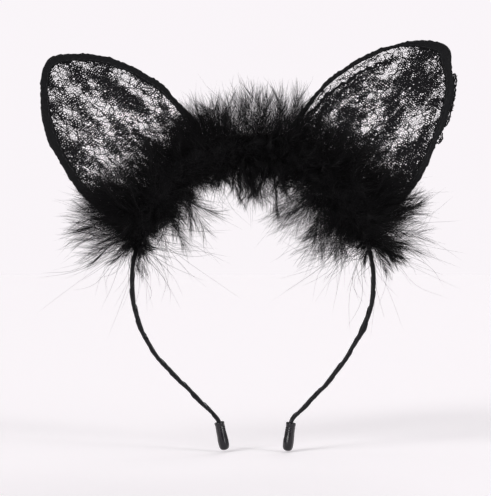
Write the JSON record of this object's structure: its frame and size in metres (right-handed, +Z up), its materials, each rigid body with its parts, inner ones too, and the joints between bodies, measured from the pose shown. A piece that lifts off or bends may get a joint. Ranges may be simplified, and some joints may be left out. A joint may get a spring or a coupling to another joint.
{
  "type": "animal ears headband",
  "caption": "Spring hoop headband wrapped in satin ribbon, with two wired lace ears, a marabou trim over the crown and soft end caps; the arms flex and the ears tilt.",
  "frame": {"origin": "the middle of the crown's underside, on the ribbon wrap, where the headband rests on the head", "axes": "+Z up through the crown as worn, +X to the right in the front view, and the front, with the marabou trim, faces -Y"},
  "size_m": [0.2058, 0.0259, 0.204],
  "materials": {
    "satin_ribbon": "black satin ribbon wound in a spiral, soft sheen",
    "spring_steel": "flat spring steel strip",
    "ear_wire": "dark annealed wire",
    "edge_binding": "black lace folded over the wire, matt",
    "lace": "black floral lace on a fine net, matt, see-through between its threads",
    "thread": "black sewing and binding thread, slight sheen",
    "core_cord": "black twisted cotton cord",
    "marabou_down": "black marabou down, very fine barbs, matt with a slight silky sheen",
    "soft_cap": "black soft PVC, semi-gloss"
  },
  "bodies": {
    "crown": {"hoop_strip_crown": "spring_steel", "ribbon_wrap_crown": "satin_ribbon", "foot_binding_left_outer": "thread", "foot_binding_left_inner": "thread", "foot_binding_right_outer": "thread", "foot_binding_right_inner": "thread", "marabou_core_cord": "core_cord", "down_centre": "marabou_down", "down_left_ear": "marabou_down", "down_left_end": "marabou_down", "down_right_ear": "marabou_down", "down_right_end": "marabou_down", "trim_tie_left_centre": "thread", "trim_tie_left_outer": "thread", "trim_tie_right_centre": "thread", "trim_tie_right_outer": "thread"},
    "arm_left": {"hoop_strip_arm_left": "spring_steel", "ribbon_wrap_arm_left": "satin_ribbon", "end_cap_left": "soft_cap"},
    "arm_right": {"hoop_strip_arm_right": "spring_steel", "ribbon_wrap_arm_right": "satin_ribbon", "end_cap_right": "soft_cap"},
    "ear_left": {"ear_wire_left": "ear_wire", "edge_binding_left": "edge_binding", "edge_stitching_left": "thread", "lace_front_left": "lace", "lace_back_left": "lace", "base_hem_left": "edge_binding"},
    "ear_right": {"ear_wire_right": "ear_wire", "edge_binding_right": "edge_binding", "edge_stitching_right": "thread", "lace_front_right": "lace", "lace_back_right": "lace", "base_hem_right": "edge_binding"}
  },
  "joints": [
    {"name": "arm_left_flex", "type": "hinge", "parent": "crown", "child": "arm_left", "pos_m": [-0.05926, 0, -0.0535], "axis": [0, 1, 0], "range_deg": [-6, 16], "stiffness_Nm_per_rad": 0.6},
    {"name": "arm_right_flex", "type": "hinge", "parent": "crown", "child": "arm_right", "pos_m": [0.05926, 0, -0.0535], "axis": [0, -1, 0], "range_deg": [-6, 16], "stiffness_Nm_per_rad": 0.6},
    {"name": "ear_left_tilt", "type": "hinge", "parent": "crown", "child": "ear_left", "pos_m": [-0.03588, 0, -0.01817], "axis": [0.7358, 0, 0.6773], "range_deg": [-20, 20]},
    {"name": "ear_right_tilt", "type": "hinge", "parent": "crown", "child": "ear_right", "pos_m": [0.03416, 0, -0.01869], "axis": [0.7484, 0, -0.6633], "range_deg": [-20, 20]}
  ]
}
